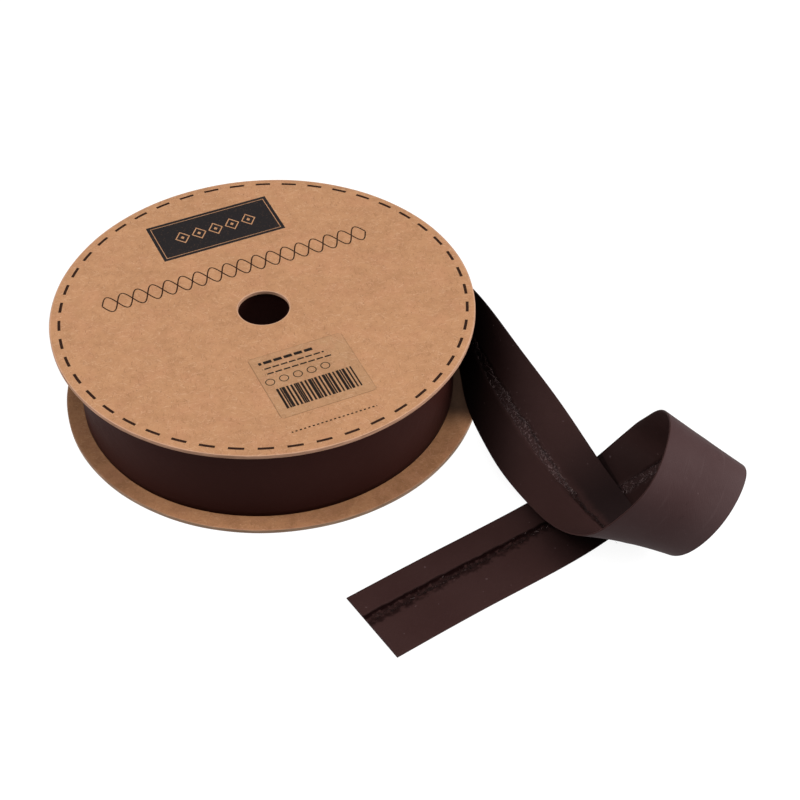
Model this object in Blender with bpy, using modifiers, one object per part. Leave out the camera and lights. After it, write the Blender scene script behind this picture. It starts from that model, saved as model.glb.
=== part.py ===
"""A roll of bias binding on a card reel, with its loose end looped beside it.

Two rounds of board hold a ring of wound tape between them. The tape's loose end leaves the roll on edge,
passes over the lower board's rim, leans over, curls up into one open loop and lies flat under its own
crossing. Metres, +Z up. The origin is the middle of the whole part's box, on the surface it lies on.
"""

import math

import bmesh
import bpy
import numpy as np

MM = 0.001

# Driving sizes
REEL_AXIS = (-36.4 * MM, 21.4 * MM)
TAPE_WIDTH = 25.0 * MM
TOUCH_GAP = 0.3 * MM

BOARD_THICKNESS = 1.1 * MM
BOARD_RADIUS = 60.7 * MM
SPINDLE_RADIUS = 7.35 * MM
BOARD_SPACING = 28.35 * MM
LOWER_BOARD_SHIFT = (1.25 * MM, 0.9 * MM)
ROUND_STEPS = 120
MERGE_DISTANCE = 0.01 * MM

ROLL_RADIUS = 54.4 * MM
ROLL_BORE_RADIUS = 9.3 * MM
ROLL_SHOULDER_DROP = 1.0 * MM
ROLL_SHOULDER_INSET = 0.5 * MM

TAIL_THICKNESS = 1.0 * MM
TAIL_STEPS = 116
TAIL_SLIT_HALF_WIDTH = 0.7 * MM
TAIL_SLIT_THICKNESS = 0.6
SLIT_PLACE_IN_LOOP = 0.50
SLIT_PLACE_AT_END = 0.31
SLIT_DRIFT_LENGTH = 125.0 * MM

STICKER_SIZE = (28.2 * MM, 26.2 * MM, 0.3 * MM)
STICKER_PLACE = (1.7 * MM, -32.3 * MM)
STICKER_CORNER = 1.0 * MM
PRINT_TURN = math.radians(26.2)

# Heights that follow from them
LOWER_BOARD_TOP = BOARD_THICKNESS
UPPER_BOARD_UNDERSIDE = LOWER_BOARD_TOP + BOARD_SPACING
UPPER_BOARD_TOP = UPPER_BOARD_UNDERSIDE + BOARD_THICKNESS
TAPE_STANDS_AT = LOWER_BOARD_TOP + TOUCH_GAP

# The roll's outer turns stand on the lower board, and its inner turns creep up until they carry the upper one
ROLL_CREEP = UPPER_BOARD_UNDERSIDE - TOUCH_GAP - TAPE_WIDTH - TAPE_STANDS_AT

# The stretch of tape that still hugs the roll, as angles round the reel's axis
HUG_ANGLES = (60.0, 52.0, 44.0, 36.0)
HUG_SLACK = 0.15 * MM

# The loose end after that: its two edges, in millimetres from the reel's axis and above the surface.
# The low edge is the one that stands on the lower board; the strip's smooth face is the one described.
LOOSE_END = (
    # where                   low edge x, y, z          high edge x, y, z
    ("between the boards",     (53.1, 20.5, 1.8),       (55.6, 20.6, 26.4)),
    ("at the rims",            (56.5, 5.6, 2.7),        (63.5, 9.0, 25.5)),
    ("over the lower rim",     (59.3, -11.2, 3.6),      (71.8, -4.9, 22.3)),
    ("leaning out",            (64.1, -25.0, 2.8),      (80.5, -16.6, 17.5)),
    ("leaning far",            (69.3, -36.7, 2.0),      (89.0, -26.2, 10.5)),
    ("over the flat end",      (75.9, -49.6, 2.7),      (97.6, -37.6, 4.7)),
    ("lowest",                 (82.5, -60.5, 5.5),      (104.4, -50.1, 2.8)),
    ("turning up",             (90.8, -71.5, 13.0),     (111.5, -64.3, 1.4)),
    ("near wall, low",         (99.0, -76.9, 25.6),     (118.5, -74.7, 10.1)),
    ("near wall, high",        (107.4, -74.1, 36.3),    (127.1, -73.8, 21.7)),
    ("top of the loop",        (112.7, -59.4, 41.1),    (133.0, -62.9, 28.7)),
    ("far wall, high",         (111.8, -44.4, 34.2),    (131.7, -51.2, 21.7)),
    ("far wall, low",          (107.9, -31.4, 17.2),    (128.9, -40.3, 8.5)),
    ("foot of the far wall",   (105.5, -24.7, 8.0),     (121.6, -41.6, 0.6)),
    ("down on the surface",    (98.7, -26.7, 2.3),      (113.8, -47.0, 0.0)),
    ("under the crossing",     (84.6, -39.9, 0.0),      (97.5, -61.1, 0.0)),
    ("flat",                   (57.1, -61.1, 0.0),      (69.2, -83.0, 0.0)),
    ("cut end",                (27.6, -83.4, 0.0),      (40.4, -104.1, 0.0)),
)


def clear_scene():
    for item in list(bpy.data.objects):
        bpy.data.objects.remove(item, do_unlink=True)


def linear(channel):
    """One screen colour channel, 0 to 255, as the linear value that a shader takes."""
    value = channel / 255.0
    if value <= 0.04045:
        return value / 12.92
    return ((value + 0.055) / 1.055) ** 2.4


def make_material(name, screen_colour, roughness):
    material = bpy.data.materials.new(name)
    material.use_nodes = True
    shader = material.node_tree.nodes["Principled BSDF"]
    shader.inputs["Base Color"].default_value = (*[linear(c) for c in screen_colour], 1.0)
    shader.inputs["Roughness"].default_value = roughness
    shader.inputs["Metallic"].default_value = 0.0
    return material


def make_object(name, mesh, collection, material, reel):
    item = bpy.data.objects.new(name, mesh)
    item.parent = reel
    mesh.materials.append(material)
    collection.objects.link(item)
    return item


def turned_mesh(name, profile):
    """A mesh of one closed outline, given as (radius, height) pairs down its outer side first."""
    mesh = bpy.data.meshes.new(name)
    points = [(radius, 0.0, height) for radius, height in profile]
    edges = [(i, (i + 1) % len(points)) for i in range(len(points))]
    mesh.from_pydata(points, edges, [])
    return mesh


def turn(item):
    """Sweep the outline once round the reel's axis."""
    screw = item.modifiers.new("turn", 'SCREW')
    screw.axis = 'Z'
    screw.angle = math.tau
    screw.steps = ROUND_STEPS
    screw.render_steps = ROUND_STEPS
    screw.use_merge_vertices = True
    screw.merge_threshold = MERGE_DISTANCE
    screw.use_smooth_shade = False


def make_board(name, underside, shift, collection, material, reel):
    """One round of board with its spindle hole."""
    top = BOARD_THICKNESS
    outline = [
        (BOARD_RADIUS, top),
        (BOARD_RADIUS, 0.0),
        (SPINDLE_RADIUS, 0.0),
        (SPINDLE_RADIUS, top),
    ]
    board = make_object(name, turned_mesh(name, outline), collection, material, reel)
    board.location = (shift[0], shift[1], underside)
    turn(board)
    return board


def make_roll(collection, material, reel):
    """The wound tape: a ring as tall as the tape is wide, whose inner turns stand higher than its outer."""
    low = TAPE_STANDS_AT
    high = low + TAPE_WIDTH
    shoulder = ROLL_RADIUS - ROLL_SHOULDER_INSET
    outline = [
        (shoulder, high),
        (ROLL_RADIUS, high - ROLL_SHOULDER_DROP),
        (ROLL_RADIUS, low + ROLL_SHOULDER_DROP),
        (shoulder, low),
        (ROLL_BORE_RADIUS, low + ROLL_CREEP),
        (ROLL_BORE_RADIUS, high + ROLL_CREEP),
    ]
    roll = make_object("roll", turned_mesh("roll", outline), collection, material, reel)
    turn(roll)
    return roll


def hugging_rows():
    """The strip's edges where it still lies on the roll, a touch gap off its last turn."""
    radius = ROLL_RADIUS + TOUCH_GAP + HUG_SLACK + TAIL_THICKNESS
    rows = []
    for angle in HUG_ANGLES:
        x = radius * math.cos(math.radians(angle))
        y = radius * math.sin(math.radians(angle))
        rows.append((x, y, TAPE_STANDS_AT, x, y, TAPE_STANDS_AT + TAPE_WIDTH))
    return rows


def loose_rows():
    return [[value * MM for value in low + high] for _, low, high in LOOSE_END]


def natural_spline(knots, values, places):
    """Cubic curve through values at knots, with no bend at its two ends, read at places."""
    count = len(knots)
    gaps = np.diff(knots)
    slopes = np.diff(values, axis=0) / gaps[:, None]
    system = np.eye(count)
    right = np.zeros_like(values)
    for i in range(1, count - 1):
        system[i, i - 1:i + 2] = gaps[i - 1], 2.0 * (gaps[i - 1] + gaps[i]), gaps[i]
        right[i] = 6.0 * (slopes[i] - slopes[i - 1])
    bends = np.linalg.solve(system, right)
    span = np.clip(np.searchsorted(knots, places) - 1, 0, count - 2)
    gap = gaps[span][:, None]
    after = (places - knots[span])[:, None]
    before = gap - after
    curved = (bends[span] * before ** 3 + bends[span + 1] * after ** 3) / (6.0 * gap)
    from_left = (values[span] / gap - bends[span] * gap / 6.0) * before
    from_right = (values[span + 1] / gap - bends[span + 1] * gap / 6.0) * after
    return curved + from_left + from_right


def strip_edges(steps):
    """Low edge, high edge and travel of the loose end at evenly spaced places, none below the surface."""
    rows = np.array(hugging_rows() + loose_rows())
    low_edge = rows[:, :3]
    high_edge = rows[:, 3:]
    middle = (low_edge + high_edge) / 2.0
    knots = np.concatenate([[0.0], np.cumsum(np.linalg.norm(np.diff(middle, axis=0), axis=1))])
    travel = np.linspace(0.0, knots[-1], steps + 1)
    lines = natural_spline(knots, np.hstack([middle, high_edge - low_edge]), travel)
    half_width = lines[:, 3:] / np.linalg.norm(lines[:, 3:], axis=1)[:, None] * TAPE_WIDTH / 2.0
    edges = np.stack([lines[:, :3] - half_width, lines[:, :3] + half_width])
    edges[:, :, 2] = np.maximum(edges[:, :, 2], 0.0)
    return edges[0], edges[1], travel


def slit_places(travel):
    """Share of the width, from the low edge, at which the two turned-in flaps meet."""
    drift = np.clip((travel - travel[-1] + SLIT_DRIFT_LENGTH) / SLIT_DRIFT_LENGTH, 0.0, 1.0)
    return SLIT_PLACE_IN_LOOP + (SLIT_PLACE_AT_END - SLIT_PLACE_IN_LOOP) * drift


def column_places(slit):
    """Shares of the width at which the strip has a column of points; the fourth is the slit."""
    half_slit = TAIL_SLIT_HALF_WIDTH / TAPE_WIDTH
    return [0.0, slit / 2.0, slit - half_slit, slit, slit + half_slit, (1.0 + slit) / 2.0, 1.0]


def make_tail(collection, material, reel):
    """The loose end: a flat strip carried along its route, with the shallow slit between its flaps."""
    low_edge, high_edge, travel = strip_edges(TAIL_STEPS)
    slits = slit_places(travel)
    columns = len(column_places(SLIT_PLACE_IN_LOOP))
    slit_column = columns // 2
    mesh = bpy.data.meshes.new("tail")
    grid = bmesh.new()
    bmesh.ops.create_grid(grid, x_segments=TAIL_STEPS, y_segments=columns - 1, size=1.0)
    slit_points = []
    for point in grid.verts:
        station = round((point.co.x + 1.0) / 2.0 * TAIL_STEPS)
        column = round((point.co.y + 1.0) / 2.0 * (columns - 1))
        share = column_places(slits[station])[column]
        point.co = low_edge[station] * (1.0 - share) + high_edge[station] * share
        if column == slit_column:
            slit_points.append(point.index)
    grid.to_mesh(mesh)
    grid.free()
    tail = make_object("tail", mesh, collection, material, reel)
    full = tail.vertex_groups.new(name="full_thickness")
    full.add([i for i in range(len(mesh.vertices)) if i not in set(slit_points)], 1.0, 'REPLACE')
    wall = tail.modifiers.new("cloth", 'SOLIDIFY')
    wall.thickness = TAIL_THICKNESS
    wall.offset = 1.0
    wall.vertex_group = full.name
    wall.thickness_vertex_group = TAIL_SLIT_THICKNESS
    return tail


def make_sticker(collection, material, reel):
    """The clear label on the upper board, turned as the print is, with rounded corners."""
    mesh = bpy.data.meshes.new("sticker")
    plate = bmesh.new()
    bmesh.ops.create_cube(plate, size=1.0)
    bmesh.ops.scale(plate, vec=STICKER_SIZE, verts=plate.verts)
    upright = [e for e in plate.edges if abs(e.verts[0].co.z - e.verts[1].co.z) > STICKER_SIZE[2] / 2.0]
    bmesh.ops.bevel(plate, geom=upright, offset=STICKER_CORNER, segments=4, profile=0.5, affect='EDGES')
    plate.to_mesh(mesh)
    plate.free()
    sticker = make_object("sticker", mesh, collection, material, reel)
    x, y = STICKER_PLACE
    height = UPPER_BOARD_TOP + TOUCH_GAP + STICKER_SIZE[2] / 2.0
    sticker.location = (
        x * math.cos(PRINT_TURN) - y * math.sin(PRINT_TURN),
        x * math.sin(PRINT_TURN) + y * math.cos(PRINT_TURN),
        height,
    )
    sticker.rotation_euler = (0.0, 0.0, PRINT_TURN)
    return sticker


def main():
    clear_scene()
    collection = bpy.data.collections.new("bias_binding_roll")
    bpy.context.scene.collection.children.link(collection)
    reel = bpy.data.objects.new("reel_axis", None)
    reel.location = (*REEL_AXIS, 0.0)
    collection.objects.link(reel)

    kraft_board = make_material("kraft_board", (200, 148, 107), 0.85)
    bias_cloth = make_material("bias_cloth", (58, 37, 37), 0.65)
    clear_film = make_material("clear_film", (206, 160, 122), 0.30)

    make_board("disc_bottom", 0.0, LOWER_BOARD_SHIFT, collection, kraft_board, reel)
    make_board("disc_top", UPPER_BOARD_UNDERSIDE, (0.0, 0.0), collection, kraft_board, reel)
    make_roll(collection, bias_cloth, reel)
    make_tail(collection, bias_cloth, reel)
    make_sticker(collection, clear_film, reel)


main()
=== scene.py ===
"""The looks of a roll of bias binding on a card reel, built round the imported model.

Two kraft boards hold the wound tape. Its loose end is a strip of cloth with both raw edges turned in, so it
shows a plain smooth side and a side with two flaps, whose frayed edges nearly meet. Metres, +Z up.
"""

import math

import bpy
import numpy as np
from mathutils import Matrix, Vector


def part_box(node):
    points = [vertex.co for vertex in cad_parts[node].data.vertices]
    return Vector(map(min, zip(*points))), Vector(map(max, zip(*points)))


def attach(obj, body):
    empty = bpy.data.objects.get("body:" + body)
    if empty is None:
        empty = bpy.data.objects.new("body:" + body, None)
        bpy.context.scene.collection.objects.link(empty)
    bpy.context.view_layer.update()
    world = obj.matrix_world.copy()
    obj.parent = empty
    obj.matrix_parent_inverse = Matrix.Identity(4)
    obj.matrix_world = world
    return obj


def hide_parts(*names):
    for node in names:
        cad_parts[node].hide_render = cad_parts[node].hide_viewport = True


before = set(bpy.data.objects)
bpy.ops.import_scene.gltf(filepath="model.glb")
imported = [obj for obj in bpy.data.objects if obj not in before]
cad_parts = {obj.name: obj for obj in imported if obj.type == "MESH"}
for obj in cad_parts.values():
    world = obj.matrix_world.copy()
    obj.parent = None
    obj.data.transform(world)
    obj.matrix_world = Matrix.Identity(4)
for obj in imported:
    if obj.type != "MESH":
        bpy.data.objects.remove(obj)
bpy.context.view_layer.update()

MM = 0.001

# The camera that took the photograph, worked out from the outlines of the two boards
CAMERA_AIM_FROM_AXIS = (63.58 * MM, 2.78 * MM)
CAMERA_DISTANCE = 632.65 * MM
CAMERA_ELEVATION = math.radians(42.49)
CAMERA_ROLL = math.radians(0.708)
PICTURE_SIDE = 800.0
FOCAL_PIXELS = 2130.1
CENTRE_PIXEL = (484.78, 382.73)
SENSOR_WIDTH = 36.0

# The light: how bright a white level surface is, so that a finish can be given as it looks on screen
DAYLIGHT = 1.65

# The boards, from the model
TOP_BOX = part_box("disc_top")
BOTTOM_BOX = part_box("disc_bottom")
ROLL_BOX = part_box("roll")
REEL_AXIS = ((TOP_BOX[0].x + TOP_BOX[1].x) / 2.0, (TOP_BOX[0].y + TOP_BOX[1].y) / 2.0)
LOWER_CENTRE = ((BOTTOM_BOX[0].x + BOTTOM_BOX[1].x) / 2.0, (BOTTOM_BOX[0].y + BOTTOM_BOX[1].y) / 2.0)
BOARD_RADIUS = (TOP_BOX[1].x - TOP_BOX[0].x) / 2.0
BOARD_THICKNESS = TOP_BOX[1].z - TOP_BOX[0].z
UPPER_TOP = TOP_BOX[1].z
SPINDLE_RADIUS = 7.35 * MM
BOARD_EDGE_ROUND = 0.16 * MM
BOARD_STEPS = 360
UNEVEN_RIM = (
    # waves round the rim   height
    (7.0,                   0.035 * MM),
    (17.0,                  0.020 * MM),
)

# The lower board's shade: where the tape leans over it, from the reel's axis, with the distances at which
# the shade starts to fade and ends, and the same for its left side, from that place
SHADED_PLACE = (56.0 * MM, 0.0)
SHADE_FADES = (9.0 * MM, 21.0 * MM)
LEFT_SHADE_FADES = (-113.0 * MM, -76.0 * MM)

# The print, in a frame turned about a point near the reel's axis, for it was stamped a little off centre
PRINT_TURN = math.radians(26.2)
PRINT_CENTRE = (REEL_AXIS[0], REEL_AXIS[1] + 0.82 * MM)
DASH_RING_CENTRE = (REEL_AXIS[0] + 0.15 * MM, REEL_AXIS[1] + 0.35 * MM)
DASH_COUNT = 46
DASH_SHARE = 0.556
DASH_START = math.radians(7.0)
DASH_RING_RADIUS = 58.15 * MM
DASH_STROKE = 0.85 * MM
PATCH_CENTRE = (0.0, 39.5 * MM)
PATCH_SIZE = (38.0 * MM, 17.1 * MM)
CORD_MOTIF_CENTRE = (-1.0 * MM, 19.3 * MM)
CORD_MOTIF_SIZE = (82.0 * MM, 6.6 * MM)
CORD_MOTIF_WAVE = 9.1 * MM
CORD_MOTIF_STROKE = 0.42 * MM
DOT_ROW_CENTRE = (0.2 * MM, -52.0 * MM)
DOT_ROW_SIZE = (25.0 * MM, 0.5 * MM)
DOT_PITCH = 1.25 * MM
PATCH_FRAME_INSET = 1.1 * MM
PATCH_FRAME_STROKE = 0.2 * MM
LOZENGE_PITCH = 5.2 * MM
LOZENGE_HALF_HEIGHT = 2.6 * MM
LOZENGE_STEEPNESS = 1.25
LOZENGE_STROKE = 0.56 * MM
LOZENGE_HEART = 0.75 * MM
MOTIFS_IN_A_ROW = 5

# The clear label
LABEL_CENTRE = (1.3 * MM, -33.0 * MM)
LABEL_SIZE = (28.2 * MM, 26.2 * MM)
LABEL_CORNER = 1.0 * MM
LABEL_THICKNESS = 0.06 * MM
LABEL_RIM_HEIGHT = 0.004 * MM
LABEL_STEPS = 80
BARS_CENTRE = (1.2 * MM, -38.6 * MM)
BARS_SIZE = (22.3 * MM, 8.6 * MM)
PLAIN_RULES = (
    # left, right, height of the middle, thickness, all in millimetres
    (-10.6, 5.6, -22.9, 1.15),
    (-10.4, 8.0, -25.4, 0.55),
    (-10.4, 9.6, -27.6, 0.55),
)
RING_ROW_HEIGHT = -31.0 * MM
RING_PITCH = 4.1 * MM
RING_RADIUS = 1.25 * MM
RING_STROKE = 0.28 * MM

# The tape
TAPE_WIDTH = 25.0 * MM
CLOTH = 0.17 * MM
FOLDED = 0.46 * MM
TURN_PITCH = 0.45 * MM
TAPE_STANDS_AT = BOTTOM_BOX[1].z + 0.03 * MM
OVER_THE_FLOOR = 0.02 * MM
ROLL_RADIUS = 54.4 * MM
ROLL_BORE_RADIUS = 9.3 * MM
ROLL_STEPS = 240
SHOWN_TURNS = 22
LEAVING_ANGLE = math.radians(60.0)

# Where the tape still hugs the roll: angle round the reel's axis, radius of its smooth face
HUGGING = (
    (60.0, 54.66 * MM),
    (52.0, 54.82 * MM),
    (44.0, 55.28 * MM),
    (36.0, 55.80 * MM),
)

# The loose end after that, as in the part's source: its two edges in millimetres from the reel's axis and
# above the surface. The smooth face is the one described.
LOOSE_END = (
    # where                   low edge x, y, z          high edge x, y, z
    ("between the boards",     (53.1, 20.5, 1.8),       (55.6, 20.6, 26.4)),
    ("at the rims",            (56.5, 5.6, 2.7),        (63.5, 9.0, 25.5)),
    ("over the lower rim",     (59.3, -11.2, 3.6),      (71.8, -4.9, 22.3)),
    ("leaning out",            (64.1, -25.0, 2.8),      (80.5, -16.6, 17.5)),
    ("leaning far",            (69.3, -36.7, 2.0),      (89.0, -26.2, 10.5)),
    ("over the flat end",      (75.9, -49.6, 2.7),      (97.6, -37.6, 4.7)),
    ("lowest",                 (82.5, -60.5, 5.5),      (104.4, -50.1, 2.8)),
    ("turning up",             (90.8, -71.5, 13.0),     (111.5, -64.3, 1.4)),
    ("near wall, low",         (99.0, -76.9, 25.6),     (118.5, -74.7, 10.1)),
    ("near wall, high",        (107.4, -74.1, 36.3),    (127.1, -73.8, 21.7)),
    ("top of the loop",        (112.7, -59.4, 41.1),    (133.0, -62.9, 28.7)),
    ("far wall, high",         (111.9, -44.5, 34.1),    (131.7, -51.2, 21.7)),
    ("far wall, low",          (108.0, -30.7, 17.8),    (128.9, -40.3, 8.5)),
    ("foot of the far wall",   (105.1, -25.0, 8.1),     (121.6, -41.6, 0.6)),
    ("down on the surface",    (98.7, -26.7, 2.3),      (113.8, -47.0, 0.0)),
    ("under the crossing",     (84.6, -39.9, 0.0),      (97.5, -61.1, 0.0)),
    ("flat",                   (57.1, -61.1, 0.0),      (69.2, -83.0, 0.0)),
    ("cut end",                (27.4, -83.4, 0.0),      (41.7, -103.6, 0.0)),
)
TAPE_STEPS = 520
SMOOTH_SIDE_POINTS = 15

# The gap between the two flaps: metres along the tape, and shares of its width from the low edge
FLAP_GAP = (
    # along     first flap ends   second flap starts
    (0.000,     0.42,             0.53),
    (0.075,     0.44,             0.55),
    (0.092,     0.440,            0.545),
    (0.105,     0.445,            0.527),
    (0.115,     0.455,            0.512),
    (0.135,     0.455,            0.500),
    (0.170,     0.44,             0.55),
    (0.232,     0.52,             0.63),
    (0.248,     0.51,             0.62),
    (0.272,     0.352,            0.43),
    (0.300,     0.337,            0.445),
    (0.332,     0.320,            0.452),
)
RAW_EDGE_WOBBLE = 0.22 * MM
RAW_EDGE_LIFT = 0.16 * MM
LIFT_BEFORE_FLAT_END = 0.35

# Where its tone, its painted sheen and shades, its lit fluff and its threads change, in metres along the
# tape. A pair is where a change starts and ends.
LEAVES_THE_ROLL = (12.0 * MM, 60.0 * MM)
SHADE_OF_THE_REEL = (56.0 * MM, 100.0 * MM)
# Stretches where the fluff between the flaps is pale: its own pale fibres and painted light; where it fades
# it lies in painted shade
LIT_FLUFF_STARTS = (68.0 * MM, 80.0 * MM)
LIT_FLUFF_FADES = (107.0 * MM, 116.0 * MM)
LIT_FLUFF_AGAIN = (212.0 * MM, 224.0 * MM)
TURNS_UNDER = (96.0 * MM, 122.0 * MM)
TURNS_UNDER_END = 160.0 * MM
CROSSING_DARKENS = (228.0 * MM, 240.0 * MM)
CROSSING_CLEARS = (262.0 * MM, 283.0 * MM)
UNDER_THE_CROSSING = (239.9 * MM, 241.0 * MM)
FLAT_END_STARTS = 262.0 * MM
FLAT_END_BLEND = 4.0 * MM

# Places across the tape, from the first flap's raw edge: beyond the first lie both flaps, and the shade
# under the crossing slants from the second by so much for each unit across
FLAPS_LIE_BEYOND = -13.5 * MM
CROSSING_SLANTS_FROM = -13.0 * MM
CROSSING_SLANT = 0.24

# Loose threads on the raw edges
FRAY_COUNT = 5200
FRAY_RADIUS = 0.05 * MM
FRAY_RINGS = 4
FRAY_SEED = 11
LONGEST_FRAY = 2.4 * MM

# The stage
FLOOR_TONE = (0.13, 0.13, 0.13, 1.0)
FLOOR_GLOW = 0.91
ROOM_GLOW = 0.04
WHITE = (1.0, 1.0, 1.0, 1.0)


class Socket:
    """One socket that carries a value. Python's operators on it add the Math nodes."""

    def __init__(self, finish, end):
        self.finish = finish
        self.end = end

    def maths(self, operation, *values):
        inputs = dict(enumerate(values))
        return self.finish.node("ShaderNodeMath", {"operation": operation}, inputs)

    def __add__(self, other):
        return self.maths("ADD", self, other)

    def __radd__(self, other):
        return self.maths("ADD", other, self)

    def __sub__(self, other):
        return self.maths("SUBTRACT", self, other)

    def __rsub__(self, other):
        return self.maths("SUBTRACT", other, self)

    def __mul__(self, other):
        return self.maths("MULTIPLY", self, other)

    def __rmul__(self, other):
        return self.maths("MULTIPLY", other, self)

    def __truediv__(self, other):
        return self.maths("DIVIDE", self, other)

    def __rtruediv__(self, other):
        return self.maths("DIVIDE", other, self)

    def __pow__(self, other):
        return self.maths("POWER", self, other)

    def __abs__(self):
        return self.maths("ABSOLUTE", self)

    def __lt__(self, other):
        return self.maths("LESS_THAN", self, other)

    def __gt__(self, other):
        return self.maths("GREATER_THAN", self, other)

    def sine(self):
        return self.maths("SINE", self)

    def cosine(self):
        return self.maths("COSINE", self)

    def fraction(self):
        return self.maths("FRACT", self)

    def at_most(self, other):
        return self.maths("MINIMUM", self, other)

    def at_least(self, other):
        return self.maths("MAXIMUM", self, other)

    def ramp(self, low, high, start=0.0, end=1.0):
        """Runs smoothly from start to end as this value goes from low to high, and stays there."""
        settings = {"interpolation_type": "SMOOTHSTEP"}
        return self.finish.node("ShaderNodeMapRange", settings,
                                {0: self, 1: low, 2: high, 3: start, 4: end})


class Finish:
    """One material with its Principled shader, and the few kinds of node that the finishes are made of."""

    def __init__(self, name, roughness, specular):
        self.material = bpy.data.materials.new(name)
        self.material.use_nodes = True
        self.tree = self.material.node_tree
        self.shader = self.tree.nodes["Principled BSDF"]
        self.shader.inputs["Roughness"].default_value = roughness
        self.shader.inputs["Specular IOR Level"].default_value = specular

    def node(self, kind, settings=None, values=None, output=0):
        """A node of this kind: its settings are set first, then its sockets get values or links."""
        node = self.tree.nodes.new(kind)
        for name, setting in (settings or {}).items():
            setattr(node, name, setting)
        for name, value in (values or {}).items():
            if isinstance(value, Socket):
                self.tree.links.new(value.end, node.inputs[name])
            else:
                node.inputs[name].default_value = value
        return Socket(self, node.outputs[output])

    def feed(self, name, value):
        self.tree.links.new(value.end, self.shader.inputs[name])

    def place(self):
        """Object coordinates, which are the model's own metres."""
        return self.node("ShaderNodeTexCoord", output="Object")

    def uv(self, layer="along_and_across"):
        return self.node("ShaderNodeUVMap", {"uv_map": layer})

    def split(self, vector):
        return [self.node("ShaderNodeSeparateXYZ", None, {0: vector}, axis) for axis in "XYZ"]

    def join(self, x, y):
        return self.node("ShaderNodeCombineXYZ", None, {0: x, 1: y})

    def distance(self, place, centre):
        """How far a place lies from a centre, seen from above, with its x and y from there."""
        x, y, _ = self.split(self.turned(place, (*centre, 0.0), 0.0))
        return (x * x + y * y) ** 0.5, x, y

    def turned(self, vector, centre, angle):
        """The same place as seen in a frame that stands at centre and is turned by angle."""
        values = {"Vector": vector, "Location": centre, "Rotation": (0.0, 0.0, angle)}
        return self.node("ShaderNodeMapping", {"vector_type": "TEXTURE"}, values)

    def scaled(self, vector, scale):
        return self.node("ShaderNodeMapping", {"vector_type": "POINT"}, {"Vector": vector, "Scale": scale})

    def noise(self, vector, scale, detail=2.0, roughness=0.5):
        values = {"Vector": vector, "Scale": scale, "Detail": detail, "Roughness": roughness}
        return self.node("ShaderNodeTexNoise", None, values)

    def blend(self, share, first, second):
        """The first colour, going to the second as share goes from 0 to 1."""
        return self.node("ShaderNodeMix", {"data_type": "RGBA"}, {0: share, 6: first, 7: second}, 2)

    def bump(self, height, distance, strength):
        """Raises the surface by height times distance."""
        values = {"Height": height, "Distance": distance, "Strength": strength}
        self.feed("Normal", self.node("ShaderNodeBump", None, values))


def linear(channel):
    """One screen colour channel, 0 to 255, as the linear value that a shader takes."""
    value = channel / 255.0
    if value <= 0.04045:
        return value / 12.92
    return ((value + 0.055) / 1.055) ** 2.4


def paint(red, green, blue):
    """The surface colour that looks like this screen colour where it lies level in the scene's light."""
    return (linear(red) / DAYLIGHT, linear(green) / DAYLIGHT, linear(blue) / DAYLIGHT, 1.0)


# Meshes

def smooth_curve(knots, values, places):
    """Natural cubic curve: through values at knots, no bend at its ends, read at places as one array."""
    gaps = np.diff(knots)
    slopes = np.diff(values, axis=0) / gaps[:, None]
    system = np.diag(np.r_[1.0, 2.0 * (gaps[:-1] + gaps[1:]), 1.0])
    inner = np.arange(1, len(knots) - 1)
    system[inner, inner - 1] = gaps[:-1]
    system[inner, inner + 1] = gaps[1:]
    right = np.zeros_like(values)
    right[1:-1] = 6.0 * np.diff(slopes, axis=0)
    bends = np.linalg.solve(system, right)
    span = np.clip(np.searchsorted(knots, places) - 1, 0, len(gaps) - 1)
    gap = gaps[span][:, None]
    after = (places - knots[span])[:, None]
    before = gap - after
    curved = (bends[span] * before ** 3 + bends[span + 1] * after ** 3) / (6.0 * gap)
    from_left = (values[span] / gap - bends[span] * gap / 6.0) * before
    from_right = (values[span + 1] / gap - bends[span + 1] * gap / 6.0) * after
    return curved + from_left + from_right


def grid_faces(rows, columns, close_rows=False, close_columns=True):
    """Quads of a grid of points, row after row, as index rows that wind the same way."""
    row = np.arange(rows if close_rows else rows - 1)
    column = np.arange(columns if close_columns else columns - 1)
    i, j = np.meshgrid(row, column, indexing="ij")
    next_i = (i + 1) % rows
    next_j = (j + 1) % columns
    corners = [i * columns + j, i * columns + next_j, next_i * columns + next_j, next_i * columns + j]
    return np.stack(corners, axis=-1).reshape(-1, 4)


def add_uv(mesh, layer_name, uv):
    """A UV map from one pair for each point."""
    layer = mesh.uv_layers.new(name=layer_name)
    corners = np.zeros(len(mesh.loops), np.int32)
    mesh.loops.foreach_get("vertex_index", corners)
    layer.data.foreach_set("uv", uv.reshape(-1, 2)[corners].astype(np.float32).ravel())


def make_piece(name, points, faces, finishes, slots=None, uv=None, ends=(), smooth=True):
    """A mesh object from a point array and a quad array, with one UV pair for each point.

    Each array in ends is one more face that closes an open end."""
    mesh = bpy.data.meshes.new(name)
    closing = [list(map(int, end)) for end in ends]
    mesh.from_pydata(points.reshape(-1, 3).tolist(), [], faces.tolist() + closing)
    for finish in finishes:
        mesh.materials.append(finish.material)
    if slots is not None:
        mesh.polygons.foreach_set("material_index", slots.astype(np.int32))
    if uv is not None:
        add_uv(mesh, "along_and_across", uv)
    mesh.polygons.foreach_set("use_smooth", np.full(len(mesh.polygons), smooth))
    mesh.update()
    piece = bpy.data.objects.new(name, mesh)
    bpy.context.scene.collection.objects.link(piece)
    return piece


def quarter_turn(steps):
    return np.linspace(0.0, math.pi / 2.0, steps)


# Finishes

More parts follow.
